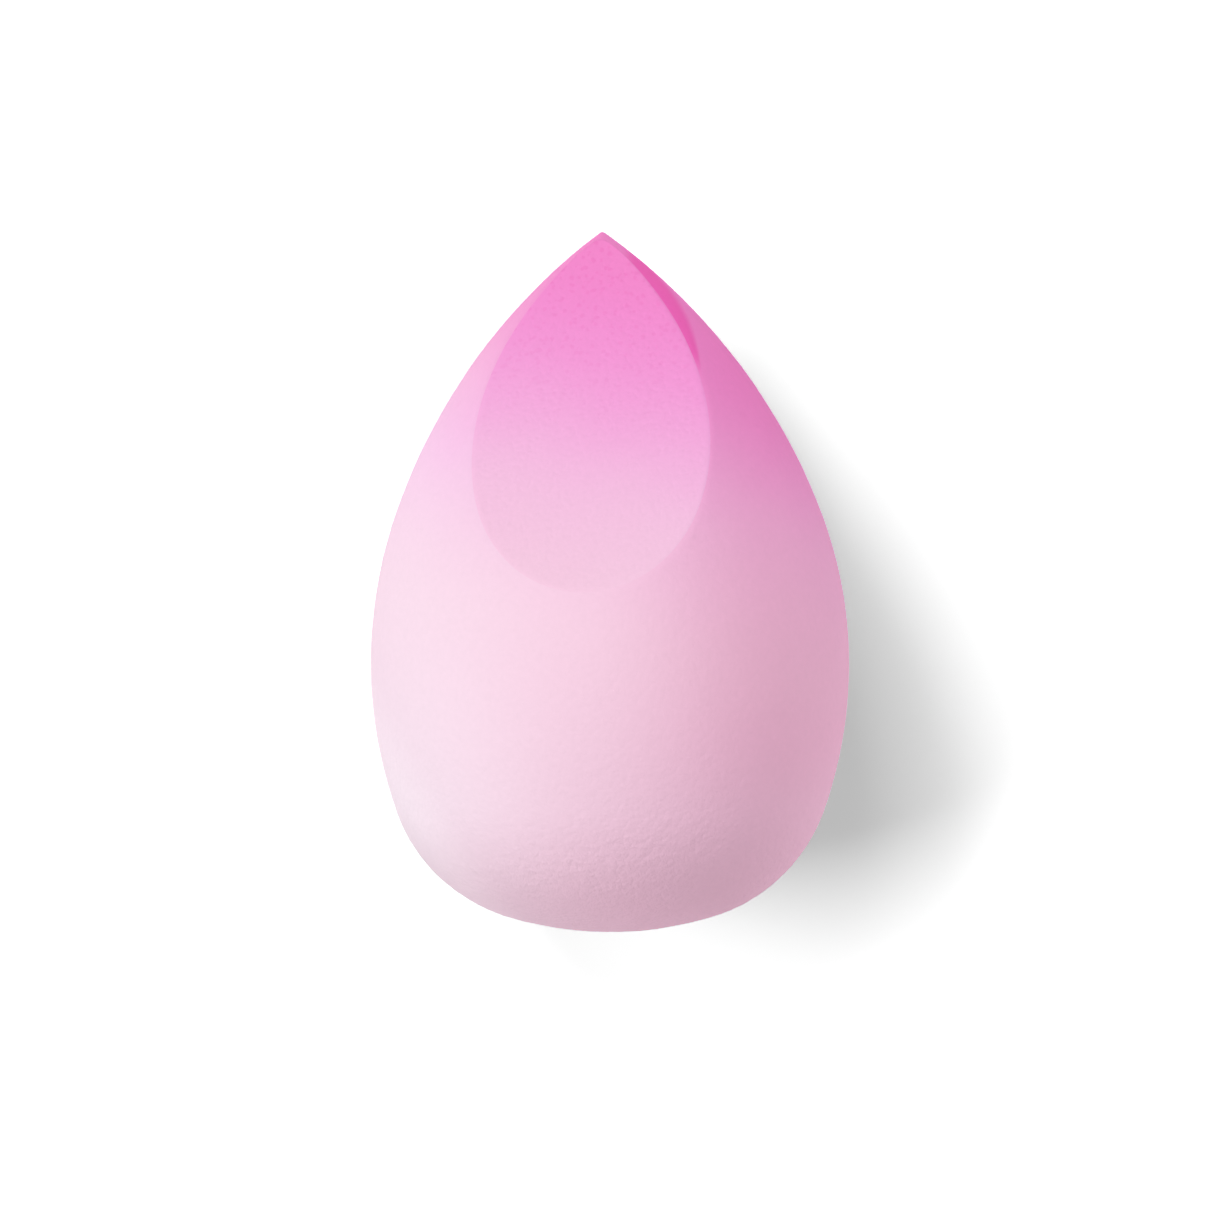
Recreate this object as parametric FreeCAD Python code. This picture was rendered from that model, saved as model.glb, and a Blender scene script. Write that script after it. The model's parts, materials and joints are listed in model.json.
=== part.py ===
"""Makeup sponge: a teardrop of soft foam, lying on its side, with one slanted flat cut beside the tip.

The sponge is one foam casting in two layers. A thin moulded skin wraps an open-cell core, and the
slanted cut slices the skin away, so the core lies bare there. Both layers are drawn from one teardrop
outline, which is a chain of tangent arcs turned about the long axis.

Frame: +Y runs along the sponge from base to tip, +Z is up, and the cut faces up. The origin is the
middle of the sponge's length and width, on the surface that it lies on. Units: millimetres, degrees.
"""

import FreeCAD
import Part

import math
import os

# Teardrop outline
LENGTH = 60.0  # from the middle of the base to the tip
BELLY_DIAMETER = 41.0  # across the fullest part
BELLY_HEIGHT = 23.0  # from the base up to the fullest part
SIDE_RADIUS = 37.9  # swell of the belly along its length
FLANK_LEAN = 20.1  # how far the side turns in above the fullest part, before the flank
HEEL_LEAN = 19.5  # how far the side turns in below the fullest part, before the heel
BASE_RISE = 17.1  # how far the base turns up from its middle, before the heel
TIP_RADIUS = 0.5  # rounding of the tip

# Slanted cut
CUT_ANGLE = 32.1  # between the cut and the long axis
TIP_LAND = 0.5  # foam left between the cut and the tip

# Foam
SKIN = 0.25  # thickness of the moulded skin
REST_DEPTH = 0.5  # how far the foam settles flat where it lies

BELLY_RADIUS = BELLY_DIAMETER / 2
AXIS_HEIGHT = BELLY_RADIUS - REST_DEPTH  # long axis above the surface that the sponge lies on
ROOM = 2 * LENGTH  # half the side of the blocks that trim the foam

Vector = FreeCAD.Vector


class Arc:
    """One round stretch of the outline, by its centre and radius, in the plane of radius and height."""

    def __init__(self, centre, radius):
        self.centre = centre
        self.radius = radius

    def inset(self, depth):
        """The same stretch, moved inwards by depth."""
        return Arc(self.centre, self.radius - depth)

    def toward(self, direction):
        """The point of this stretch in a direction from its centre."""
        unit = Vector(direction)
        unit.normalize()
        return self.centre + unit * self.radius

    def angle_of(self, point):
        """Direction of a point as seen from the centre, in radians."""
        return math.atan2(point.y - self.centre.y, point.x - self.centre.x)

    def edge(self, start, end):
        """The stretch between two of its points, as an edge."""
        middle = (self.angle_of(start) + self.angle_of(end)) / 2
        halfway = self.toward(Vector(math.cos(middle), math.sin(middle), 0))
        return Part.Arc(start, halfway, end).toShape()


def facing(angle):
    """Outward direction of the outline, by its angle above straight out."""
    angle = math.radians(angle)
    return Vector(math.cos(angle), math.sin(angle), 0)


def side_arc():
    """The side, upright at the fullest part."""
    return Arc(Vector(BELLY_RADIUS - SIDE_RADIUS, BELLY_HEIGHT, 0), SIDE_RADIUS)


def tip_arc():
    """The small rounding of the tip, centred on the long axis."""
    return Arc(Vector(0, LENGTH - TIP_RADIUS, 0), TIP_RADIUS)


def flank_arc(side, tip):
    """The flank, which leaves the side at its lean and runs into the rounded tip."""
    outwards = facing(FLANK_LEAN)
    start = side.toward(outwards)
    to_tip = tip.centre - start
    radius = (tip.radius**2 - to_tip.Length**2) / (2 * (to_tip.dot(outwards) + tip.radius))
    return Arc(start - outwards * radius, radius)


def base_and_heel(side):
    """The base, centred on the long axis, and the heel that joins it to the side.

    The heel starts where the side ends. Each arc covers a share of the way from there to the middle of
    the base, across and along the long axis, and those shares give the two radii.
    """
    outwards = facing(-HEEL_LEAN)
    start = side.toward(outwards)
    rise = facing(BASE_RISE - 90)
    base_across, base_along = rise.x, 1 + rise.y
    heel_across, heel_along = outwards.x - rise.x, outwards.y - rise.y
    spread = base_across * heel_along - base_along * heel_across
    base_radius = (start.x * heel_along - start.y * heel_across) / spread
    heel_radius = (start.y * base_across - start.x * base_along) / spread
    base = Arc(Vector(0, base_radius, 0), base_radius)
    return base, Arc(start - outwards * heel_radius, heel_radius)


def outline(depth):
    """Closed half outline of the teardrop, moved inwards by depth, from the base round to the tip."""
    side, tip = side_arc(), tip_arc()
    flank = flank_arc(side, tip)
    base, heel = base_and_heel(side)
    beside_tip = tip.centre - flank.centre
    base, heel, side, flank, tip = (arc.inset(depth) for arc in (base, heel, side, flank, tip))
    bottom = base.toward(Vector(0, -1, 0))
    heel_start = base.toward(facing(BASE_RISE - 90))
    side_start = side.toward(facing(-HEEL_LEAN))
    flank_start = side.toward(facing(FLANK_LEAN))
    tip_start = tip.toward(beside_tip)
    top = tip.toward(Vector(0, 1, 0))
    edges = [
        base.edge(bottom, heel_start),
        heel.edge(heel_start, side_start),
        side.edge(side_start, flank_start),
        flank.edge(flank_start, tip_start),
        tip.edge(tip_start, top),
        Part.LineSegment(top, bottom).toShape(),
    ]
    return Part.Face(Part.Wire(edges))


def slant_cut():
    """Block of the foam that the slanted cut takes away. Its lower face is the cut."""
    block = Part.makeBox(2 * ROOM, 2 * ROOM, ROOM, Vector(-ROOM, -ROOM, 0))
    block.rotate(Vector(0, 0, 0), Vector(1, 0, 0), -CUT_ANGLE)
    slant = math.radians(CUT_ANGLE)
    upwards = Vector(0, math.sin(slant), math.cos(slant))
    block.translate(tip_point() + upwards * TIP_LAND)
    return block


def tip_point():
    """The tip, where the sponge lies."""
    return Vector(0, LENGTH / 2, AXIS_HEIGHT)


def settled_teardrop(depth):
    """Whole teardrop moved inwards by depth, flat where it lies. Its seam runs underneath."""
    half_outline = outline(depth)
    half_outline.rotate(Vector(0, 0, 0), Vector(0, 1, 0), 90)
    teardrop = half_outline.revolve(Vector(0, 0, 0), Vector(0, 1, 0), 360)
    teardrop.translate(Vector(0, -LENGTH / 2, AXIS_HEIGHT))
    under = Part.makeBox(2 * ROOM, 2 * ROOM, ROOM, Vector(-ROOM, -ROOM, depth - ROOM))
    return teardrop.cut(under)


def foam_core():
    """Open-cell core, bare at the slanted cut."""
    return settled_teardrop(SKIN).cut(slant_cut()).Solids[0]


def moulded_skin():
    """Thin skin round the core, open at the slanted cut."""
    shell = settled_teardrop(0).cut(settled_teardrop(SKIN))
    return shell.cut(slant_cut()).Solids[0]


def main():
    os.makedirs("parts", exist_ok=True)
    for name, make in (("foam_core", foam_core), ("moulded_skin", moulded_skin)):
        solid = make()
        solid.exportStep(f"parts/{name}.step")
        centre = solid.CenterOfMass
        print(f"{name}: {solid.Volume:.1f} mm3, centre {centre.x:.2f} {centre.y:.2f} {centre.z:.2f}")


if __name__ == "__main__":
    main()
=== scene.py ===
"""Makeup sponge: a teardrop of dyed foam with one slanted cut, laid out as a Blender add-on.

The sponge is one foam casting in two layers, and each layer is a piece: the moulded skin all round, and
the open-cell core that the blade lays bare at the cut. Both come out of one geometry tree. It turns the
teardrop outline about the long axis, lays an even net of faces over it, gives the net its foam grain and
parts it along the rim of the cut.

Lengths are in metres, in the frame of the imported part: +Y runs from base to tip and +Z is up.
"""

import json
import math

import bpy
from bpy.props import FloatProperty, FloatVectorProperty, IntProperty, PointerProperty
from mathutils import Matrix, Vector


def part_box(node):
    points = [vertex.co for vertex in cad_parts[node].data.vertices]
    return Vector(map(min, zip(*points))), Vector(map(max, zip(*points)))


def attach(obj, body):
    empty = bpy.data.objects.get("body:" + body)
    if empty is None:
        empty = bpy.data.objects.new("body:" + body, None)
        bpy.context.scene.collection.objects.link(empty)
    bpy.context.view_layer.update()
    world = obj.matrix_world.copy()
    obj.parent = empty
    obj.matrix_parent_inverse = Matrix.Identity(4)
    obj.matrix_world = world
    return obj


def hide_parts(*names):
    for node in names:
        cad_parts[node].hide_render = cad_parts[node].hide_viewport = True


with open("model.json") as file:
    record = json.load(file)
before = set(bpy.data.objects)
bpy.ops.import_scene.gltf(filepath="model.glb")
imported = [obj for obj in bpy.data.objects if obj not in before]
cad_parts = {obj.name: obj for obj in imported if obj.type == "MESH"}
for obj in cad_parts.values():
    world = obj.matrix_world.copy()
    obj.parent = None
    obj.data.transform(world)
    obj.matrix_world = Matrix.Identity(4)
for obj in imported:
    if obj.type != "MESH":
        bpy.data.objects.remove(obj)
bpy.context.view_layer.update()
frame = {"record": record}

bl_info = {
    "name": "Makeup sponge",
    "version": (1, 0, 0),
    "blender": (4, 5, 0),
    "location": "View3D > Sidebar > Sponge",
    "description": "Builds a dyed foam teardrop sponge with a slanted cut, and the stage that shows it",
    "category": "Object",
}

MM = 0.001
SKIN_NODE = "moulded_skin"
CORE_NODE = "foam_core"
BODY = "root"
WHITE = (1.0, 1.0, 1.0)

# Each lamp's angle round from +X and above the floor in degrees, and its size in metres
LAMPS = {
    "key": (110, 55, 0.4),
    "accent": (125, 50, 0.25),
    "side": (190, 44, 0.4),
    "back": (34, 10, 0.5),
    "front": (307, 42, 0.5),
}

skin_low, skin_high = (Vector(corner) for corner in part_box(SKIN_NODE))
slant_cut = next(mount for mount in frame["record"]["mounts"] if mount["name"] == "slant_cut")


def length(name, description, default):
    """A size in metres that a user may change."""
    return FloatProperty(
        name=name, description=description, default=default, unit="LENGTH", precision=5, min=0.0
    )


def angle(name, description, degrees):
    """An angle that a user may change, given in degrees."""
    return FloatProperty(
        name=name, description=description, default=math.radians(degrees), subtype="ANGLE"
    )


def share(name, description, default):
    """A part of a whole that a user may change."""
    return FloatProperty(
        name=name, description=description, default=default, subtype="FACTOR", min=0.0, max=1.0
    )


def strength(name, description, default):
    """A light's strength that a user may change: 1 lights a surface that faces it fully."""
    return FloatProperty(name=name, description=description, default=default, min=0.0)


def colour(name, description, default):
    """A colour that a user may change."""
    return FloatVectorProperty(
        name=name, description=description, default=default, subtype="COLOR", min=0.0, max=1.0
    )


class SpongeShape(bpy.types.PropertyGroup):
    """Sizes of the teardrop and its cut."""

    length: length("Length", "From the middle of the base to the tip", skin_high.y - skin_low.y)
    belly: length("Belly", "Across the fullest part", skin_high.x - skin_low.x)
    belly_height: length("Belly height", "From the base up to the fullest part", 23.0 * MM)
    side_radius: length("Side radius", "Swell of the belly along its length", 37.9 * MM)
    flank_lean: angle("Flank lean", "Turn of the side above the fullest part, before the flank", 20.1)
    heel_lean: angle("Heel lean", "Turn of the side below the fullest part, before the heel", 19.5)
    base_rise: angle("Base rise", "Turn of the base up from its middle, before the heel", 17.1)
    tip_radius: length("Tip radius", "Rounding of the tip", 0.3 * MM)
    top: length("Top", "Highest point above the surface that the sponge lies on", skin_high.z)
    skin: length("Skin", "Thickness of the moulded skin", 0.25 * MM)
    rim_round: length("Rim rounding", "How far the rim of the cut is rounded to each side", 0.5 * MM)
    tip_sway: length("Tip sway", "How far the soft tip leans to one side", 0.65 * MM)
    sway_start: FloatProperty(
        name="Sway start", description="Where along the sponge the lean begins", default=-4 * MM,
        unit="LENGTH", precision=5,
    )


class SpongeFoam(bpy.types.PropertyGroup):
    """Grain of the foam."""

    net: IntProperty(
        name="Net", description="Faces along one side of the net over the sponge", default=200, min=16
    )
    grain: length("Grain", "Width of the skin's grain", 0.7 * MM)
    grain_depth: length("Grain depth", "Depth of the skin's grain", 0.11 * MM)
    swell: length("Swell", "Width of the soft unevenness of the skin", 7.0 * MM)
    swell_depth: length("Swell depth", "Depth of the soft unevenness of the skin", 0.08 * MM)
    cell: length("Cell", "Width of the open cells at the cut", 0.5 * MM)
    cell_depth: length("Cell depth", "Depth of the open cells at the cut", 0.035 * MM)


class SpongeDyeAndShading(bpy.types.PropertyGroup):
    """Colours of the foam, and how far painted light and shade set the skin's two sides apart."""

    pale: colour("Pale", "Foam at the base", (0.93, 0.62, 0.768))
    blush: colour("Blush", "Dye that tints the foam from its middle up", (0.93, 0.33, 0.768))
    deep: colour("Deep", "Dye that deepens the foam toward the tip", (0.93, 0.25, 0.61))
    slant: share("Slant", "How far the dye reaches down across the sponge, per length across", 0.23)
    # Painted shade on the side away from the lamps and painted light on the lit side, partly the dye's own
    drift: share("Drift", "How much deeper the skin is on one side, and paler on the other", 0.19)


class SpongeStage(bpy.types.PropertyGroup):
    """Camera, light and floor."""

    view_width: length("View width", "Width of the view at the sponge's long axis", 104.6 * MM)
    view_tilt: angle("View tilt", "Lean of the camera away from straight down", 6.5)
    view_drop: length("View drop", "How far below the middle of the sponge the view is centred", 2.44 * MM)
    lens: FloatProperty(
        name="Lens", description="Focal length in millimetres", default=200.0, subtype="DISTANCE_CAMERA"
    )
    floor: colour("Floor", "Colour of the floor", (0.9, 0.9, 0.9))
    floor_gain: strength("Floor gain", "How much paler than its colour the camera sees the floor", 1.82)
    key: strength("Key", "Light of the high lamp beyond the tip, on one side", 0.264)
    accent: strength("Accent", "Light of the small lamp next to the high one", 0.226)
    side: strength("Side", "Light of the lamp beside the sponge, on the same side", 0.499)
    back: strength("Back", "Light of the low lamp beyond the tip, on the other side", 0.402)
    front: strength("Front", "Light of the lamp beyond the base, on the other side", 0.375)
    surround: strength("Surround", "Even light from all round", 0.0)


class Nodes:
    """Adds nodes to a tree. A feed is either a socket to link or a plain value to set."""

    COLUMNS = 12
    SPACING = 220

    def __init__(self, tree):
        self.tree = tree

    def add(self, kind, feeds=(), **settings):
        """A new node with its settings, fed by the place or the name of its inputs."""
        row, column = divmod(len(self.tree.nodes), self.COLUMNS)
        node = self.tree.nodes.new(kind)
        node.location = (column * self.SPACING, -row * self.SPACING)
        for name, value in settings.items():
            setattr(node, name, value)
        pairs = feeds.items() if isinstance(feeds, dict) else enumerate(feeds)
        for place, feed in pairs:
            self.feed(node.inputs[place], feed)
        return node

    def feed(self, socket, feed):
        """Links a socket, or sets its value."""
        if isinstance(feed, bpy.types.NodeSocket):
            self.tree.links.new(feed, socket)
        else:
            socket.default_value = feed

    def math(self, operation, *feeds):
        """A number worked out from others."""
        return self.add("ShaderNodeMath", feeds, operation=operation).outputs[0]

    def vector(self, operation, *feeds):
        """A vector, or its length or dot product, worked out from others."""
        node = self.add("ShaderNodeVectorMath", feeds, operation=operation)
        single = operation in {"LENGTH", "DISTANCE", "DOT_PRODUCT"}
        return node.outputs["Value" if single else "Vector"]

    def scaled(self, vector, factor):
        """A vector times a number."""
        feeds = {"Vector": vector, "Scale": factor}
        return self.add("ShaderNodeVectorMath", feeds, operation="SCALE").outputs["Vector"]

    def split(self, vector):
        """The three parts of a vector."""
        return self.add("ShaderNodeSeparateXYZ", [vector]).outputs[:]

    def joined(self, x, y, z):
        """A vector from its three parts."""
        return self.add("ShaderNodeCombineXYZ", [x, y, z]).outputs[0]

    def ramped(self, value, start, end, low=0.0, high=1.0):
        """A smooth step of a value from low at start to high at end."""
        feeds = {"Value": value, "From Min": start, "From Max": end, "To Min": low, "To Max": high}
        node = self.add("ShaderNodeMapRange", feeds, interpolation_type="SMOOTHSTEP")
        return node.outputs["Result"]

    def mixed(self, factor, first, second):
        """A vector or colour between two others."""
        feeds = {0: factor, 4: first, 5: second}
        return self.add("ShaderNodeMix", feeds, data_type="VECTOR").outputs[1]

    def blended(self, factor, first, second):
        """A number between two others."""
        feeds = {0: factor, 2: first, 3: second}
        return self.add("ShaderNodeMix", feeds, data_type="FLOAT").outputs[0]

    def tinted(self, colour, mask, tint):
        """A colour multiplied by a tint where a mask is 1."""
        return self.vector("MULTIPLY", colour, self.mixed(mask, WHITE, tint))

    def noise(self, place, width, detail=2.0, seed=0.0):
        """Cloudy noise about a width across, centred on 0."""
        feeds = {"Vector": place, "W": seed, "Scale": self.math("DIVIDE", 1.0, width), "Detail": detail}
        cloud = self.add("ShaderNodeTexNoise", feeds, noise_dimensions="4D").outputs[0]
        return self.math("SUBTRACT", cloud, 0.5)

    def cells(self, place, width, randomness=1.0):
        """Distance from the nearest of scattered points about a width apart, in widths."""
        scale = self.math("DIVIDE", 1.0, width)
        feeds = {"Vector": place, "Scale": scale, "Randomness": randomness}
        return self.add("ShaderNodeTexVoronoi", feeds).outputs["Distance"]

    def group(self, tree, feeds):
        """A node group placed in this tree."""
        kind = "ShaderNodeGroup" if self.tree.type == "SHADER" else "GeometryNodeGroup"
        node = self.tree.nodes.new(kind)
        node.node_tree = tree
        for name, feed in feeds.items():
            self.feed(node.inputs[name], feed)
        return node


def new_tree(kind, name, inputs, outputs):
    """An empty node group with its sockets, as its nodes, its given values and its results."""
    tree = bpy.data.node_groups.new(name, kind)
    for in_out, sockets in (("INPUT", inputs), ("OUTPUT", outputs)):
        for label, socket_kind in sockets.items():
            tree.interface.new_socket(label, in_out=in_out, socket_type="NodeSocket" + socket_kind)
    nodes = Nodes(tree)
    given = nodes.add("NodeGroupInput").outputs
    results = nodes.add("NodeGroupOutput").inputs
    return nodes, given, results


def facing(angle):
    """Outward direction of the outline, by its angle above straight out."""
    return Vector((math.cos(angle), math.sin(angle)))


def outline_arcs(shape):
    """Tangent arcs of the half outline from base to tip: centre, radius, first and last direction."""
    side = Vector((shape.belly / 2 - shape.side_radius, shape.belly_height))
    tip = Vector((0.0, shape.length - shape.tip_radius))

    flank_out = facing(shape.flank_lean)
    flank_start = side + flank_out * shape.side_radius
    to_tip = tip - flank_start
    reach = 2 * (to_tip.dot(flank_out) + shape.tip_radius)
    flank_radius = (shape.tip_radius**2 - to_tip.length_squared) / reach
    flank = flank_start - flank_out * flank_radius
    beside_tip = tip - flank
    tip_turn = math.atan2(beside_tip.y, beside_tip.x)

    heel_out = facing(-shape.heel_lean)
    heel_start = side + heel_out * shape.side_radius
    heel_turn = shape.base_rise - math.pi / 2
    rise = facing(heel_turn)
    base_across, base_along = rise.x, 1 + rise.y
    heel_across, heel_along = heel_out - rise
    spread = base_across * heel_along - base_along * heel_across
    base_radius = (heel_start.x * heel_along - heel_start.y * heel_across) / spread
    heel_radius = (heel_start.y * base_across - heel_start.x * base_along) / spread
    base = Vector((0.0, base_radius))
    heel = heel_start - heel_out * heel_radius

    return (
        (base, base_radius, -math.pi / 2, heel_turn),
        (heel, heel_radius, heel_turn, -shape.heel_lean),
        (side, shape.side_radius, -shape.heel_lean, shape.flank_lean),
        (flank, flank_radius, shape.flank_lean, tip_turn),
        (tip, shape.tip_radius, tip_turn, math.pi / 2),
    )


def outline_curve(name, shape, depth):
    """Half outline moved inwards by depth, as a curve of radius (X) against place along the sponge (Y)."""
    steps_per_arc = 48
    points = []
    for centre, radius, first, last in outline_arcs(shape):
        for step in range(steps_per_arc):
            turn = first + (last - first) * step / steps_per_arc
            points.append(centre + facing(turn) * (radius - depth))
    points.append(Vector((0.0, shape.length - depth)))
    points[0].x = 0.0

    curve = bpy.data.curves.new(name, "CURVE")
    curve.dimensions = "3D"
    spline = curve.splines.new("POLY")
    spline.points.add(len(points) - 1)
    for spot, point in zip(spline.points, points):
        spot.co = (point.x, point.y - shape.length / 2, 0.0, 1.0)
    outline = bpy.data.objects.new(name, curve)
    bpy.context.scene.collection.objects.link(outline)
    return outline


def turned_outline_tree():
    """Geometry group: an outline turned about the long axis, flat where the sponge lies."""
    around = 361
    along = 481
    seam_turn = 0.37
    closed_gap = 0.001 * MM
    nodes, given, results = new_tree(
        "GeometryNodeTree", "Turned outline",
        {"Outline": "Object", "Axis Height": "Float", "Rest Level": "Float"}, {"Mesh": "Geometry"},
    )
    outline = nodes.add("GeometryNodeObjectInfo", {"Object": given["Outline"]}).outputs["Geometry"]
    size = {"Size X": 1.0, "Size Y": 1.0, "Vertices X": around, "Vertices Y": along}
    net = nodes.add("GeometryNodeMeshGrid", size).outputs["Mesh"]
    across, upwards, _ = nodes.split(nodes.add("GeometryNodeInputPosition").outputs[0])
    factor = nodes.math("ADD", upwards, 0.5)
    sample = nodes.add("GeometryNodeSampleCurve", {"Curves": outline, "Factor": factor}, mode="FACTOR")
    radius, place, _ = nodes.split(sample.outputs["Position"])
    turn = nodes.math("MULTIPLY_ADD", across, math.tau, seam_turn)
    x = nodes.math("MULTIPLY", radius, nodes.math("COSINE", turn))
    z = nodes.math("MULTIPLY_ADD", radius, nodes.math("SINE", turn), given["Axis Height"])
    z = nodes.math("MAXIMUM", z, given["Rest Level"])
    moved = nodes.add("GeometryNodeSetPosition", {"Geometry": net, "Position": nodes.joined(x, place, z)})
    feeds = {"Geometry": moved.outputs[0], "Distance": closed_gap}
    closed = nodes.add("GeometryNodeMergeByDistance", feeds)
    nodes.feed(results["Mesh"], closed.outputs[0])
    return nodes.tree


class Casting:
    """The nodes of the geometry tree that makes a layer of the sponge."""

    NAME = "Foam sponge"
    INPUTS = {
        "Outline": "Object", "Inner Outline": "Object", "Axis Height": "Float", "Skin": "Float",
        "Cut Centre": "Vector", "Cut Angle": "Float", "Rim Round": "Float", "Heart": "Vector",
        "Net": "Int", "Grain": "Float", "Grain Depth": "Float", "Swell": "Float", "Swell Depth": "Float",
        "Cell": "Float", "Cell Depth": "Float", "Tip": "Float", "Tip Sway": "Float",
        "Sway Start": "Float", "Core": "Bool", "Material": "Material",
    }
    SIDE_SHARE = 2 / 3  # of the way round from the rim, covered by the cube's four sides
    TOP_LEVEL = 0.9999  # a little below the cube's top
    FACES_UP = 0.9  # upward part of a normal, past which a face is in the cube's top
    FIRST_RING = 0.0001  # share of the way round that is still on the rim
    WALL_RINGS = 24
    GRAIN_DETAIL = 3.0
    SWELL_DETAIL = 1.0
    SWELL_SEED = 4.0
    CELL_SLOPE = (0.1, 0.7, 1.0, 0.0)  # from the middle of a cell to its wall
    COARSE_BASE = (3 * MM, 16 * MM, 1.6, 0.6)  # share of the grain, by the distance from the base
    RIM_FADE = 0.8 * MM
    FINE_TIP = (1 * MM, 6 * MM)  # distance from the tip over which the rim's rounding begins
    SWAY_POWER = 1.5
    FOLD = math.radians(80)
    CLOSED_GAP = 0.002 * MM
    FAR = 1.0

    def __init__(self):
        self.nodes, self.given, results = new_tree(
            "GeometryNodeTree", self.NAME, self.INPUTS, {"Geometry": "Geometry"}
        )
        turned = turned_outline_tree()
        self.outer = self.turned(turned, "Outline", 0.0)
        self.inner = self.turned(turned, "Inner Outline", self.given["Skin"])
        self.cut_normal = self.tilted(self.nodes.joined(0.0, 0.0, 1.0))

        drawn, cast = self.grained_net()
        facet, skin = self.parted(cast)
        wall = self.inner_wall(drawn, cast)
        flipped = self.nodes.add("GeometryNodeFlipFaces", [wall]).outputs[0]
        layer = self.nodes.add(
            "GeometryNodeSwitch",
            {"Switch": self.given["Core"], "False": self.welded(skin, flipped),
             "True": self.welded(facet, wall)},
            input_type="GEOMETRY",
        ).outputs[0]
        layer = self.swayed(layer)
        layer = self.shaded(layer)
        realized = self.nodes.add("GeometryNodeRealizeInstances", [layer]).outputs[0]
        feeds = {"Geometry": realized, "Material": self.given["Material"]}
        self.nodes.feed(results["Geometry"], self.nodes.add("GeometryNodeSetMaterial", feeds).outputs[0])

    def turned(self, tree, outline, rest_level):
        """One of the two outlines, turned."""
        feeds = {
            "Outline": self.given[outline], "Axis Height": self.given["Axis Height"],
            "Rest Level": rest_level,
        }
        return self.nodes.group(tree, feeds).outputs["Mesh"]

    def tilted(self, vector):
        """A direction in the plane of the floor, tilted into the plane of the cut."""
        turn = self.nodes.math("MULTIPLY", self.given["Cut Angle"], -1.0)
        feeds = {"Vector": vector, "Angle": turn}
        return self.nodes.add("ShaderNodeVectorRotate", feeds, rotation_type="X_AXIS").outputs[0]

    def hit(self, target, source, direction):
        """The results of casting a ray at a turned outline."""
        feeds = {
            "Target Geometry": target, "Source Position": source, "Ray Direction": direction,
            "Ray Length": self.FAR,
        }
        return self.nodes.add("GeometryNodeRaycast", feeds).outputs

    def rim(self, spoke):
        """Point of the cut's rim along a spoke from the middle of the cut, and the skin's normal there."""
        met = self.hit(self.outer, self.given["Cut Centre"], self.tilted(spoke))
        return met["Hit Position"], met["Hit Normal"]

    def below_rim(self, rim, share, target):
        """Point of the outline a share of the way from the rim round to the point opposite the cut.

        The share is of the angle at the heart, a point inside the sponge from which the outline is seen.
        """
        nodes = self.nodes
        heart = self.given["Heart"]
        outwards = nodes.vector("NORMALIZE", nodes.vector("SUBTRACT", rim, heart))
        away = nodes.scaled(self.cut_normal, -1.0)
        axis = nodes.vector("CROSS_PRODUCT", outwards, away)
        whole = nodes.math("ARCCOSINE", nodes.vector("DOT_PRODUCT", outwards, away))
        feeds = {"Vector": outwards, "Axis": axis, "Angle": nodes.math("MULTIPLY", whole, share)}
        ray = nodes.add("ShaderNodeVectorRotate", feeds, rotation_type="AXIS_ANGLE").outputs[0]
        return self.hit(target, heart, ray)["Hit Position"]

    def grained_net(self):
        """The sponge's surface as it is drawn, and the same with its grain and its rounded rim.

        A cube's faces are wrapped over the sponge, so that the cells stay even: its top becomes the
        facet, with the top's edge on the rim, and its other faces meet opposite the cut.
        """
        nodes = self.nodes
        sides = nodes.math("ADD", self.given["Net"], 1.0)
        cube = nodes.add(
            "GeometryNodeMeshCube",
            {"Size": (2.0, 2.0, 2.0), "Vertices X": sides, "Vertices Y": sides, "Vertices Z": sides},
        ).outputs["Mesh"]
        place = nodes.add("GeometryNodeInputPosition").outputs[0]
        x, y, z = nodes.split(place)
        ring = nodes.math("MAXIMUM", nodes.math("ABSOLUTE", x), nodes.math("ABSOLUTE", y))
        warped = (
            nodes.math("TANGENT", nodes.math("MULTIPLY", nodes.math("DIVIDE", part, ring), math.pi / 4))
            for part in (x, y)
        )
        rim, slope = self.rim(nodes.vector("NORMALIZE", nodes.joined(*warped, 0.0)))
        down = nodes.math("MULTIPLY", nodes.math("SUBTRACT", 1.0, z), self.SIDE_SHARE / 2)
        under = nodes.math("MULTIPLY", nodes.math("SUBTRACT", 1.0, ring), 1 - self.SIDE_SHARE)
        share = nodes.math("ADD", down, under)
        on_cut = nodes.math("GREATER_THAN", z, self.TOP_LEVEL)
        cut_spot = nodes.mixed(ring, self.given["Cut Centre"], rim)
        spot = nodes.mixed(on_cut, self.below_rim(rim, share, self.outer), cut_spot)

        lean = nodes.math("ABSOLUTE", nodes.vector("DOT_PRODUCT", slope, self.cut_normal))
        turn = nodes.math("DIVIDE", nodes.math("SUBTRACT", 1.0, lean), nodes.math("ADD", 1.0, lean))
        _, _, upwards = nodes.split(nodes.add("GeometryNodeInputNormal").outputs["Normal"])
        face_up = nodes.math("GREATER_THAN", upwards, self.FACES_UP)
        cube = self.kept(cube, "cut_face", face_up, "FACE")
        cube = self.kept(cube, "on_cut", on_cut, "POINT")
        cube = self.kept(cube, "from_rim", nodes.vector("DISTANCE", spot, rim), "POINT")
        cube = self.kept(cube, "half_turn", nodes.math("SQRT", turn), "POINT")
        drawn = nodes.add("GeometryNodeSetPosition", {"Geometry": cube, "Position": spot}).outputs[0]
        return drawn, self.grained(drawn)

    def parted(self, net):
        """The facet of the cut, and the rest of the net."""
        parts = self.nodes.add(
            "GeometryNodeSeparateGeometry", [net, self.recalled("cut_face")], domain="FACE"
        ).outputs
        return parts["Selection"], parts["Inverted"]

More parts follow.
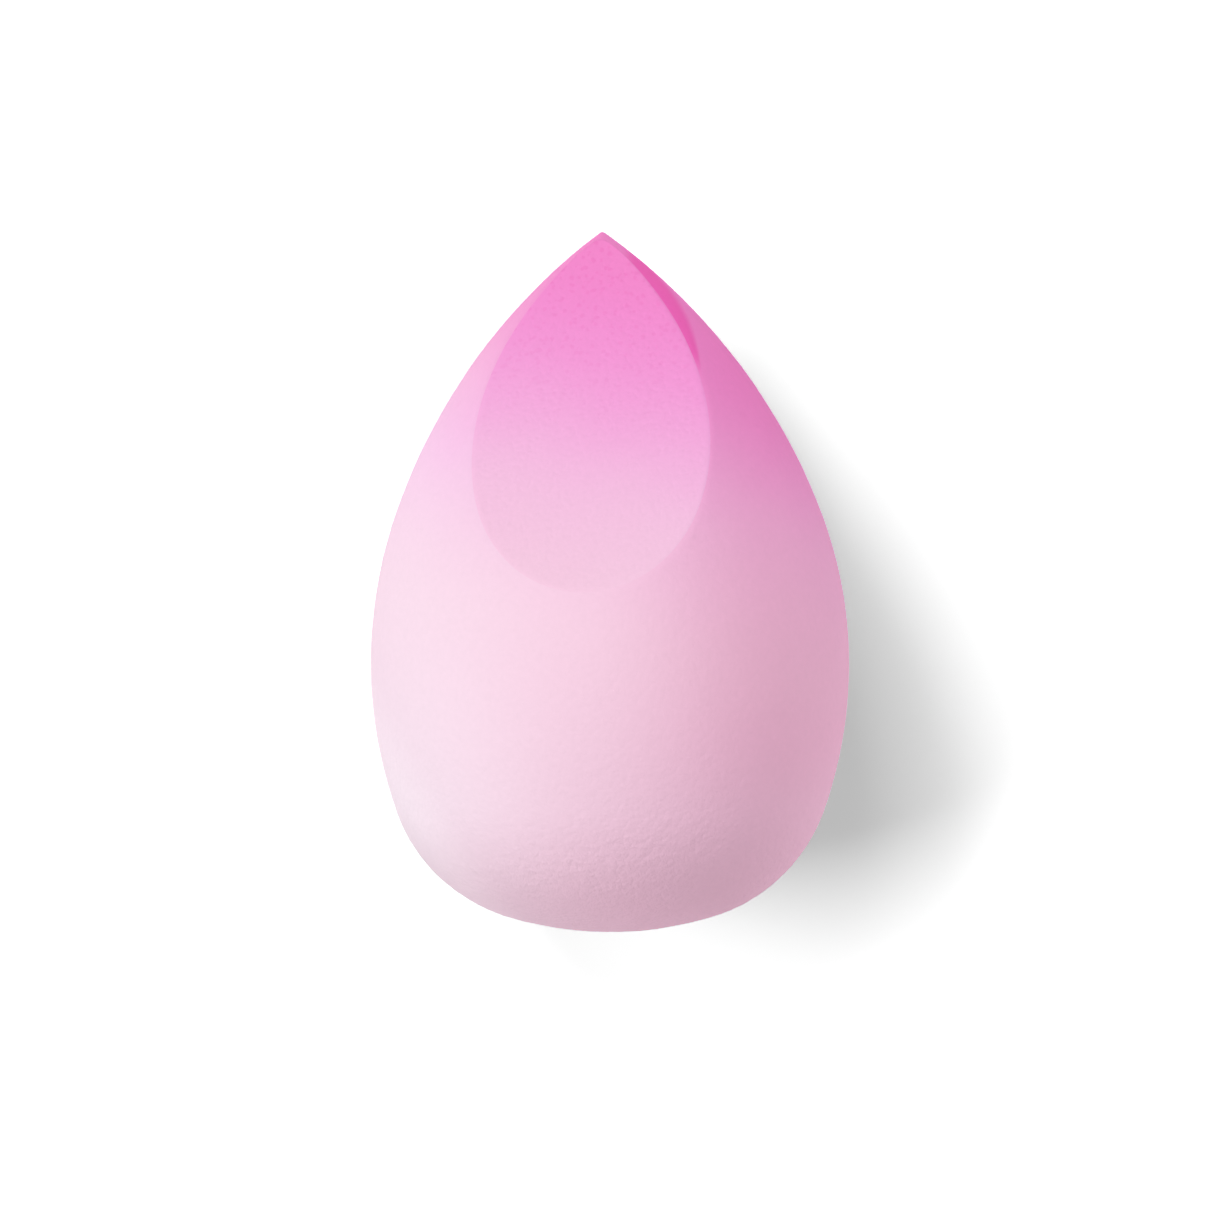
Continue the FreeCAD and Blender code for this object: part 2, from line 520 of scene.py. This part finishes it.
    def kept(self, geometry, name, value, domain):
        """Geometry with a number stored on it."""
        feeds = {"Geometry": geometry, "Name": name, "Value": value}
        settings = {"data_type": "FLOAT", "domain": domain}
        return self.nodes.add("GeometryNodeStoreNamedAttribute", feeds, **settings).outputs[0]

    def recalled(self, name):
        """A number stored on the geometry."""
        node = self.nodes.add("GeometryNodeInputNamedAttribute", {"Name": name}, data_type="FLOAT")
        return node.outputs["Attribute"]

    def grained(self, net):
        """The net pushed along its normals: grain on the skin, open cells on the cut, a rounded rim."""
        nodes = self.nodes
        place = nodes.add("GeometryNodeInputPosition").outputs[0]
        normal = nodes.add("GeometryNodeInputNormal").outputs["Normal"]
        _, along, _ = nodes.split(place)
        from_rim = self.recalled("from_rim")
        skin_depth = self.skin_depth(place, along)
        depth = nodes.blended(self.recalled("on_cut"), skin_depth, self.cell_depth(place))
        depth = nodes.math("MULTIPLY", depth, nodes.ramped(from_rim, 0.0, self.RIM_FADE))
        depth = nodes.math("ADD", depth, self.rim_depth(from_rim, along))
        push = nodes.scaled(normal, nodes.math("MULTIPLY", depth, -1.0))
        return nodes.add("GeometryNodeSetPosition", {"Geometry": net, "Offset": push}).outputs[0]

    def skin_depth(self, place, along):
        """Depth of the skin's grain and swell. The grain is coarsest round the base."""
        nodes, given = self.nodes, self.given
        from_base = nodes.math("ADD", given["Tip"], along)
        grain = nodes.noise(place, given["Grain"], self.GRAIN_DETAIL)
        grain = nodes.math("MULTIPLY", grain, nodes.ramped(from_base, *self.COARSE_BASE))
        swell = nodes.noise(place, given["Swell"], self.SWELL_DETAIL, self.SWELL_SEED)
        swell = nodes.math("MULTIPLY", swell, given["Swell Depth"])
        return nodes.math("MULTIPLY_ADD", grain, given["Grain Depth"], swell)

    def cell_depth(self, place):
        """Depth of the open cells at the cut."""
        nodes, given = self.nodes, self.given
        pits = nodes.ramped(nodes.cells(place, given["Cell"]), *self.CELL_SLOPE)
        return nodes.math("MULTIPLY", pits, given["Cell Depth"])

    def rim_depth(self, from_rim, along):
        """How far the rounded rim lies below the sharp one. It stays sharp at the tip."""
        nodes, given = self.nodes, self.given
        near = nodes.math("SUBTRACT", 1.0, nodes.math("DIVIDE", from_rim, given["Rim Round"]))
        near = nodes.math("POWER", nodes.math("MAXIMUM", near, 0.0), 2.0)
        half_round = nodes.math("MULTIPLY", given["Rim Round"], 0.5)
        depth = nodes.math("MULTIPLY", nodes.math("MULTIPLY", near, half_round), self.recalled("half_turn"))
        from_tip = nodes.math("SUBTRACT", given["Tip"], along)
        return nodes.math("MULTIPLY", depth, nodes.ramped(from_tip, *self.FINE_TIP))

    def inner_wall(self, drawn, cast):
        """Wall between skin and core, from the rim of the cut round to the point opposite it."""
        nodes = self.nodes
        around = nodes.math("MULTIPLY_ADD", self.given["Net"], 4.0, 1.0)
        size = {"Size X": 1.0, "Size Y": 1.0, "Vertices X": around, "Vertices Y": self.WALL_RINGS + 1}
        net = nodes.add("GeometryNodeMeshGrid", size).outputs["Mesh"]
        across, down, _ = nodes.split(nodes.add("GeometryNodeInputPosition").outputs[0])
        turn = nodes.math("MULTIPLY", across, math.tau)
        share = nodes.math("SUBTRACT", 0.5, down)
        spoke = nodes.joined(nodes.math("COSINE", turn), nodes.math("SINE", turn), 0.0)
        rim, _ = self.rim(spoke)
        nearest = nodes.add(
            "GeometryNodeSampleNearest", {"Geometry": drawn, "Sample Position": rim}, domain="POINT"
        ).outputs["Index"]
        place = nodes.add("GeometryNodeInputPosition").outputs[0]
        feeds = {"Geometry": cast, "Value": place, "Index": nearest}
        settings = {"data_type": "FLOAT_VECTOR", "domain": "POINT"}
        lip = nodes.add("GeometryNodeSampleIndex", feeds, **settings).outputs["Value"]
        below = nodes.math("GREATER_THAN", share, self.FIRST_RING)
        spot = nodes.mixed(below, lip, self.below_rim(rim, share, self.inner))
        return nodes.add("GeometryNodeSetPosition", {"Geometry": net, "Position": spot}).outputs[0]

    def welded(self, surface, wall):
        """A surface and the inner wall, joined at the rim to one closed layer."""
        joined = self.nodes.add("GeometryNodeJoinGeometry")
        for part in (surface, wall):
            self.nodes.tree.links.new(part, joined.inputs[0])
        feeds = {"Geometry": joined.outputs[0], "Distance": self.CLOSED_GAP}
        return self.nodes.add("GeometryNodeMergeByDistance", feeds).outputs[0]

    def swayed(self, layer):
        """The layer with its soft tip leaning a little to one side, flat where it lies."""
        nodes, given = self.nodes, self.given
        x, along, z = nodes.split(nodes.add("GeometryNodeInputPosition").outputs[0])
        span = nodes.math("SUBTRACT", given["Tip"], given["Sway Start"])
        rise = nodes.math("DIVIDE", nodes.math("SUBTRACT", along, given["Sway Start"]), span)
        bend = nodes.math("POWER", nodes.math("MAXIMUM", rise, 0.0), self.SWAY_POWER)
        x = nodes.math("SUBTRACT", x, nodes.math("MULTIPLY", bend, given["Tip Sway"]))
        spot = nodes.joined(x, along, nodes.math("MAXIMUM", z, 0.0))
        return nodes.add("GeometryNodeSetPosition", {"Geometry": layer, "Position": spot}).outputs[0]

    def shaded(self, layer):
        """The layer shaded smooth, and sharp where the skin folds back on itself at the rim."""
        nodes = self.nodes
        smooth = nodes.add("GeometryNodeSetShadeSmooth", {"Geometry": layer, "Shade Smooth": True})
        fold = nodes.add("GeometryNodeInputMeshEdgeAngle").outputs["Unsigned Angle"]
        feeds = {
            "Geometry": smooth.outputs[0], "Selection": nodes.math("GREATER_THAN", fold, self.FOLD),
            "Shade Smooth": False,
        }
        return nodes.add("GeometryNodeSetShadeSmooth", feeds, domain="EDGE").outputs[0]


def set_input(modifier, name, value):
    """Sets a named input of a geometry modifier by its socket's identifier."""
    for item in modifier.node_group.interface.items_tree:
        if item.item_type == "SOCKET" and item.in_out == "INPUT" and item.name == name:
            modifier[item.identifier] = value
            return
    raise KeyError(name)


def cast_layer(name, scene, core, material):
    """One layer of the sponge, as a plain mesh."""
    shape, foam = scene.sponge_shape, scene.sponge_foam
    outline = outline_curve("outline", shape, 0.0)
    inner_outline = outline_curve("inner_outline", shape, shape.skin)
    axis_height = shape.top - shape.belly / 2
    heart = (0.0, -4 * MM, axis_height - MM)
    normal = Vector(slant_cut["axis"])
    values = {
        "Outline": outline, "Inner Outline": inner_outline, "Axis Height": axis_height,
        "Skin": shape.skin, "Cut Centre": slant_cut["pos_m"],
        "Cut Angle": math.atan2(normal.y, normal.z), "Rim Round": shape.rim_round,
        "Heart": heart, "Net": foam.net, "Grain": foam.grain, "Grain Depth": foam.grain_depth,
        "Swell": foam.swell, "Swell Depth": foam.swell_depth,
        "Cell": foam.cell, "Cell Depth": foam.cell_depth,
        "Tip": shape.length / 2, "Tip Sway": shape.tip_sway, "Sway Start": shape.sway_start,
        "Core": core, "Material": material,
    }
    piece = bpy.data.objects.new(name, bpy.data.meshes.new(name))
    scene.collection.objects.link(piece)
    modifier = piece.modifiers.new("casting", "NODES")
    modifier.node_group = bpy.data.node_groups.get(Casting.NAME) or Casting().nodes.tree
    for label, value in values.items():
        set_input(modifier, label, value)

    depsgraph = bpy.context.evaluated_depsgraph_get()
    mesh = bpy.data.meshes.new_from_object(piece.evaluated_get(depsgraph), depsgraph=depsgraph)
    piece.modifiers.clear()
    piece.data = mesh
    mesh.name = name
    for curve in (outline, inner_outline):
        bpy.data.objects.remove(curve)
    if not mesh.polygons:
        raise RuntimeError(f"{name} came out empty")
    return piece


def settle(piece, node):
    """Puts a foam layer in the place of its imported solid. Its dye doesn't tint the floor's shadow."""
    piece.visible_diffuse = False
    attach(piece, BODY)
    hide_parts(node)


def side_shading_and_dye(nodes, x, y):
    """How far the skin departs from the even dye: paler on the lit side and deeper on the side away from
    the lamps. This is painted light and painted shade, with some of the dye's own unevenness.

    The paler side turns rosier toward the tip.
    """
    # Painted light on the lit side and painted shade on the side away from the lamps, partly the dye's own
    lit_side = (-18.5 * MM, 5 * MM, 1.0, 0.0)
    lit_belly = (-26 * MM, 4 * MM, 1.4, 0.74)
    lit_rosy_tip = (10 * MM, 22 * MM, 0.0, 1.5)
    shaded_side = (0.0, 16 * MM)
    shaded_belly = (-30 * MM, -12 * MM, 0.24, 1.0)
    shaded_flank = (2 * MM, 16 * MM, 1.0, 1.3)
    side_shading_tint = (0.0, 1.0, 0.52)
    lit_rosy_tint = (0.0, 1.0, -0.15)
    pale = nodes.ramped(x, *lit_side)
    paler = nodes.math("MULTIPLY", pale, nodes.ramped(y, *lit_belly))
    rosier = nodes.math("MULTIPLY", pale, nodes.ramped(y, *lit_rosy_tip))
    deeper = nodes.math("MULTIPLY", nodes.ramped(x, *shaded_side), nodes.ramped(y, *shaded_belly))
    deeper = nodes.math("MULTIPLY", deeper, nodes.ramped(y, *shaded_flank))
    sides = nodes.scaled(side_shading_tint, nodes.math("SUBTRACT", paler, deeper))
    return nodes.vector("ADD", sides, nodes.scaled(lit_rosy_tint, rosier))


def rim_shade_wedge(nodes, place, x, y):
    """Mask of a painted shade: a wedge of skin beside the rim of the cut, on the side of the tip away from
    the lamps.
    """
    width_along = (15.5 * MM, 28 * MM, 0.0, 2.1 * MM)
    inner_share = 0.6
    outer_share = 1.4
    blunt_end = (17 * MM, 19.5 * MM)
    from_middle = (0.8 * MM, 2.6 * MM)
    from_cut = nodes.vector("SUBTRACT", slant_cut["pos_m"], place)
    below = nodes.vector("DOT_PRODUCT", from_cut, slant_cut["axis"])
    width = nodes.ramped(y, *width_along)
    inner = nodes.math("MULTIPLY", width, inner_share)
    outer = nodes.math("MULTIPLY", width, outer_share)
    wedge = nodes.ramped(below, inner, outer, 1.0, 0.0)
    wedge = nodes.math("MULTIPLY", wedge, nodes.ramped(y, *blunt_end))
    return nodes.math("MULTIPLY", wedge, nodes.ramped(x, *from_middle))


def dye_and_shading_group():
    """Shader group: the dye, deep at the tip and pale at the base, reaching lower on one side.

    The skin is deeper on that side too and paler on the other: partly the dye's own, partly painted shade
    on the side away from the lamps and painted light on the lit side. The edge of the base on the lit side
    is palest, as painted light, and the rest of the base is a little deeper, as painted shade where it
    turns away from the lamps. A wedge beside the rim of the cut is deepest, a painted shade. Near the tip
    the dye also collects in the pores.
    """
    blush_reach = (-6 * MM, 30 * MM)
    deep_reach = (6 * MM, 32 * MM)
    cloud_width = 9 * MM
    cloud_detail = 5.0
    # Painted shade: the colour a little deeper round the base, where it turns away from the lamps
    base_shade_reach = (-28 * MM, -18 * MM, 1.0, 0.0)
    base_shade_tint = (1.0, 0.927, 0.951)
    # Painted light: the edge of the base on the lit side made paler and brighter
    lit_edge_towards = (-0.85, -0.53, 0.0)
    lit_edge_reach = (19.7 * MM, 24 * MM)
    lit_edge_tint = (1.065, 1.09, 1.075)
    # Painted shade: the wedge beside the rim of the cut, on the side away from the lamps
    shade_wedge_tint = (1.0, 0.55, 0.83)
    soak_reach = (10 * MM, 26 * MM)
    soak_tint = (0.988, 0.895, 0.953)
    nodes, given, results = new_tree(
        "ShaderNodeTree", "Dye And Shading",
        {"Pale": "Color", "Blush": "Color", "Deep": "Color", "Slant": "Float", "Wander": "Float",
         "Drift": "Float", "Wedge": "Float", "Soak": "Float"},
        {"Color": "Color"},
    )
    place = nodes.add("ShaderNodeTexCoord").outputs["Object"]
    x, y, _ = nodes.split(place)
    cloud = nodes.noise(place, cloud_width, cloud_detail)
    along = nodes.math("MULTIPLY_ADD", cloud, given["Wander"], y)
    along = nodes.math("MULTIPLY_ADD", x, given["Slant"], along)
    toned = nodes.mixed(nodes.ramped(along, *blush_reach), given["Pale"], given["Blush"])
    toned = nodes.mixed(nodes.ramped(along, *deep_reach), toned, given["Deep"])

    # Painted light and shade across the skin's sides, partly the dye's own unevenness
    drift = nodes.scaled(side_shading_and_dye(nodes, x, y), given["Drift"])
    toned = nodes.vector("MULTIPLY", toned, nodes.vector("ADD", drift, WHITE))
    # Painted shade round the base
    toned = nodes.tinted(toned, nodes.ramped(y, *base_shade_reach), base_shade_tint)
    # Painted light on the lit edge of the base
    lit_edge = nodes.ramped(nodes.vector("DOT_PRODUCT", place, lit_edge_towards), *lit_edge_reach)
    toned = nodes.tinted(toned, lit_edge, lit_edge_tint)
    # Painted shade in the wedge beside the rim
    wedge = nodes.math("MULTIPLY", rim_shade_wedge(nodes, place, x, y), given["Wedge"])
    toned = nodes.tinted(toned, wedge, shade_wedge_tint)
    soak = nodes.math("MULTIPLY", nodes.ramped(y, *soak_reach), given["Soak"])
    nodes.feed(results["Color"], nodes.tinted(toned, soak, soak_tint))
    return nodes.tree


def foam_group():
    """Shader group: the foam's fine grain as a height and a tone, and its open pores as a mask.

    The height is greatest round the base of the sponge, and the tone is centred on 0.
    """
    coarse_base = (-27 * MM, -14 * MM, 2.4, 1.0)
    fine_share = 0.4
    fine_detail = 2.0
    fine_seed = 2.0
    tone_detail = 3.0
    tone_seed = 5.0
    ragged_share = 0.7
    raggedness = 1.2
    full_share = 0.4
    nodes, given, results = new_tree(
        "ShaderNodeTree", "Foam grain",
        {"Grain": "Float", "Pore": "Float", "Pore Share": "Float"},
        {"Height": "Float", "Pores": "Float", "Tone": "Float"},
    )
    place = nodes.add("ShaderNodeTexCoord").outputs["Object"]
    _, along, _ = nodes.split(place)
    fine_width = nodes.math("MULTIPLY", given["Grain"], fine_share)
    fine = nodes.noise(place, fine_width, fine_detail, fine_seed)
    height = nodes.math("SUBTRACT", fine, nodes.cells(place, given["Grain"]))
    height = nodes.math("MULTIPLY", height, nodes.ramped(along, *coarse_base))
    nodes.feed(results["Height"], height)
    nodes.feed(results["Tone"], nodes.noise(place, given["Grain"], tone_detail, tone_seed))
    ragged = nodes.noise(place, nodes.math("MULTIPLY", given["Pore"], ragged_share))
    far = nodes.math("MULTIPLY_ADD", ragged, raggedness, nodes.cells(place, given["Pore"]))
    full = nodes.math("MULTIPLY", given["Pore Share"], full_share)
    nodes.feed(results["Pores"], nodes.ramped(far, full, given["Pore Share"], 1.0, 0.0))
    return nodes.tree


def placed_group(name, make):
    """A shader group that is built once."""
    return bpy.data.node_groups.get(name) or make()


def foam_material(name, dye, drift, wedge, grain, pore, pore_share, bump):
    """Matt dyed foam with its grain and pores."""
    dye_wander = 3.0 * MM
    pore_shade = (-0.01, 1.0)
    tone_shade = (0.06, 1.0)
    tone_roughness = (0.15, 0.875)
    specular = 0.15
    material = bpy.data.materials.new(name)
    material.use_nodes = True
    nodes = Nodes(material.node_tree)
    material.node_tree.nodes.clear()
    foam = nodes.group(
        placed_group("Foam grain", foam_group), {"Grain": grain, "Pore": pore, "Pore Share": pore_share}
    ).outputs
    # The dye's colour also carries painted light and shade: the skin's sides, the lit edge of the base, the
    # deeper base and the wedge
    dyed = nodes.group(
        placed_group("Dye And Shading", dye_and_shading_group),
        {"Pale": (*dye.pale, 1.0), "Blush": (*dye.blush, 1.0), "Deep": (*dye.deep, 1.0),
         "Slant": dye.slant, "Wander": dye_wander, "Drift": drift, "Wedge": wedge, "Soak": foam["Pores"]},
    ).outputs["Color"]
    shade = nodes.math("MULTIPLY_ADD", foam["Pores"], *pore_shade)
    tone = nodes.math("MULTIPLY_ADD", foam["Tone"], *tone_shade)
    normal = nodes.add("ShaderNodeBump", {"Height": foam["Height"], "Distance": bump}).outputs[0]
    shader = nodes.add(
        "ShaderNodeBsdfPrincipled",
        {"Base Color": nodes.scaled(dyed, nodes.math("MULTIPLY", shade, tone)),
         "Roughness": nodes.math("MULTIPLY_ADD", foam["Tone"], *tone_roughness),
         "Specular IOR Level": specular, "Normal": normal},
    )
    nodes.add("ShaderNodeOutputMaterial", {"Surface": shader.outputs[0]})
    return material


def moulded_foam(dye):
    """Fine closed grain of the moulded skin."""
    return foam_material(
        # The skin carries the painted light and shade of its sides and the painted shade of the wedge
        "moulded_foam", dye, dye.drift, wedge=1.0,
        grain=0.5 * MM, pore=1.8 * MM, pore_share=0.10, bump=0.02 * MM,
    )


def cut_foam(dye):
    """Open cells of the core, laid bare by the blade."""
    return foam_material(
        "cut_foam", dye, drift=0.0, wedge=0.0,
        grain=0.32 * MM, pore=0.65 * MM, pore_share=0.4, bump=0.014 * MM,
    )


def seen_directly(nodes):
    """1 for rays that show the stage to the camera, 0 for rays that light the sponge."""
    rays = nodes.add("ShaderNodeLightPath").outputs
    direct = nodes.math("MAXIMUM", rays["Is Camera Ray"], rays["Is Glossy Ray"])
    return nodes.math("MAXIMUM", direct, rays["Is Transmission Ray"])


def floor_material(stage):
    """Pale floor that the camera sees as white, apart from the sponge's shadow."""
    material = bpy.data.materials.new("stage_floor")
    material.use_nodes = True
    nodes = Nodes(material.node_tree)
    material.node_tree.nodes.clear()
    white = [part * stage.floor_gain for part in stage.floor]
    lit = nodes.add("ShaderNodeBsdfDiffuse", {"Color": (*stage.floor, 1.0)}).outputs[0]
    seen = nodes.add("ShaderNodeBsdfDiffuse", {"Color": (*white, 1.0)}).outputs[0]
    mix = nodes.add("ShaderNodeMixShader", [seen_directly(nodes), lit, seen]).outputs[0]
    nodes.add("ShaderNodeOutputMaterial", {"Surface": mix})
    return material


def softbox(name, around, above, size, strength):
    """Square area lamp that faces the sponge, by its angles round from +X and above the floor.

    It lights by shadow rays alone, because the floor's other rays pass through the sponge.
    """
    distance = 0.8
    lamp = bpy.data.lights.new(name, "AREA")
    lamp.shape = "SQUARE"
    lamp.size = size
    lamp.energy = strength * math.pi**2 * distance**2
    lamp.cycles.use_multiple_importance_sampling = False
    around, above = math.radians(around), math.radians(above)
    level = math.cos(above)
    towards = Vector((level * math.cos(around), level * math.sin(around), math.sin(above)))
    holder = bpy.data.objects.new(name, lamp)
    holder.location = towards * distance
    holder.rotation_euler = towards.to_track_quat("Z", "Y").to_euler()
    bpy.context.scene.collection.objects.link(holder)
    return holder


def surround(scene, strength):
    """Even light from all round, which the camera sees as white."""
    world = bpy.data.worlds.new("stage_surround")
    world.use_nodes = True
    nodes = Nodes(world.node_tree)
    world.node_tree.nodes.clear()
    white = (*WHITE, 1.0)
    light = nodes.add("ShaderNodeBackground", {"Color": white, "Strength": strength}).outputs[0]
    seen = nodes.add("ShaderNodeBackground", {"Color": white, "Strength": 1.0}).outputs[0]
    mix = nodes.add("ShaderNodeMixShader", [seen_directly(nodes), light, seen]).outputs[0]
    nodes.add("ShaderNodeOutputWorld", {"Surface": mix})
    scene.world = world


def camera(scene, stage, axis_height):
    """Camera above the sponge, leaning a little to one side."""
    lens = bpy.data.cameras.new("view")
    lens.lens = stage.lens
    distance = stage.view_width * stage.lens / lens.sensor_width
    eye = bpy.data.objects.new("view", lens)
    back = Vector((math.sin(stage.view_tilt), 0.0, math.cos(stage.view_tilt)))
    eye.location = Vector((0.0, -stage.view_drop, axis_height)) + back * distance
    eye.rotation_euler = (0.0, stage.view_tilt, 0.0)
    scene.collection.objects.link(eye)
    scene.camera = eye


def lay_floor(scene, stage):
    """Wide flat floor that the sponge lies on."""
    half = 1.5
    mesh = bpy.data.meshes.new("stage_floor")
    corners = [(-half, -half, 0), (half, -half, 0), (half, half, 0), (-half, half, 0)]
    mesh.from_pydata(corners, [], [(0, 1, 2, 3)])
    mesh.materials.append(floor_material(stage))
    floor = bpy.data.objects.new("stage_floor", mesh)
    scene.collection.objects.link(floor)


class SPONGE_OT_foam_core(bpy.types.Operator):
    """Builds the open-cell core, bare at the slanted cut"""

    bl_idname = "sponge.foam_core"
    bl_label = "Foam core"

    def execute(self, context):
        scene = context.scene
        piece = cast_layer("sponge_core", scene, True, cut_foam(scene.sponge_dye))
        settle(piece, CORE_NODE)
        return {"FINISHED"}


class SPONGE_OT_moulded_skin(bpy.types.Operator):
    """Builds the thin moulded skin round the core, open at the slanted cut"""

    bl_idname = "sponge.moulded_skin"
    bl_label = "Moulded skin"

    def execute(self, context):
        scene = context.scene
        piece = cast_layer("sponge_skin", scene, False, moulded_foam(scene.sponge_dye))
        settle(piece, SKIN_NODE)
        return {"FINISHED"}


class SPONGE_OT_stage(bpy.types.Operator):
    """Builds the floor, the lamps and the camera"""

    bl_idname = "sponge.stage"
    bl_label = "Stage"

    def execute(self, context):
        scene = context.scene
        stage = scene.sponge_stage
        shape = scene.sponge_shape
        lay_floor(scene, stage)
        for name, (around, above, size) in LAMPS.items():
            softbox(name, around, above, size, getattr(stage, name))
        surround(scene, stage.surround)
        camera(scene, stage, shape.top - shape.belly / 2)
        scene.view_settings.view_transform = "Standard"
        return {"FINISHED"}


class SPONGE_PT_panel(bpy.types.Panel):
    """Lists the sponge's sizes, colours and pieces"""

    bl_idname = "SPONGE_PT_panel"
    bl_label = "Makeup sponge"
    bl_space_type = "VIEW_3D"
    bl_region_type = "UI"
    bl_category = "Sponge"

    def draw(self, context):
        layout = self.layout
        for group in ("sponge_shape", "sponge_foam", "sponge_dye", "sponge_stage"):
            settings = getattr(context.scene, group)
            column = layout.column(align=True)
            for name in settings.__annotations__:
                column.prop(settings, name)
        for operator in (SPONGE_OT_foam_core, SPONGE_OT_moulded_skin, SPONGE_OT_stage):
            layout.operator(operator.bl_idname)


SETTINGS = {
    "sponge_shape": SpongeShape, "sponge_foam": SpongeFoam, "sponge_dye": SpongeDyeAndShading,
    "sponge_stage": SpongeStage,
}
CLASSES = (
    *SETTINGS.values(), SPONGE_OT_foam_core, SPONGE_OT_moulded_skin, SPONGE_OT_stage, SPONGE_PT_panel,
)


def register():
    for each in CLASSES:
        bpy.utils.register_class(each)
    for name, group in SETTINGS.items():
        setattr(bpy.types.Scene, name, PointerProperty(type=group))


def unregister():
    for name in SETTINGS:
        delattr(bpy.types.Scene, name)
    for each in reversed(CLASSES):
        bpy.utils.unregister_class(each)


def main():
    """Builds the sponge and its stage."""
    register()
    bpy.ops.sponge.foam_core()
    bpy.ops.sponge.moulded_skin()
    bpy.ops.sponge.stage()


if __name__ == "__main__":
    main()
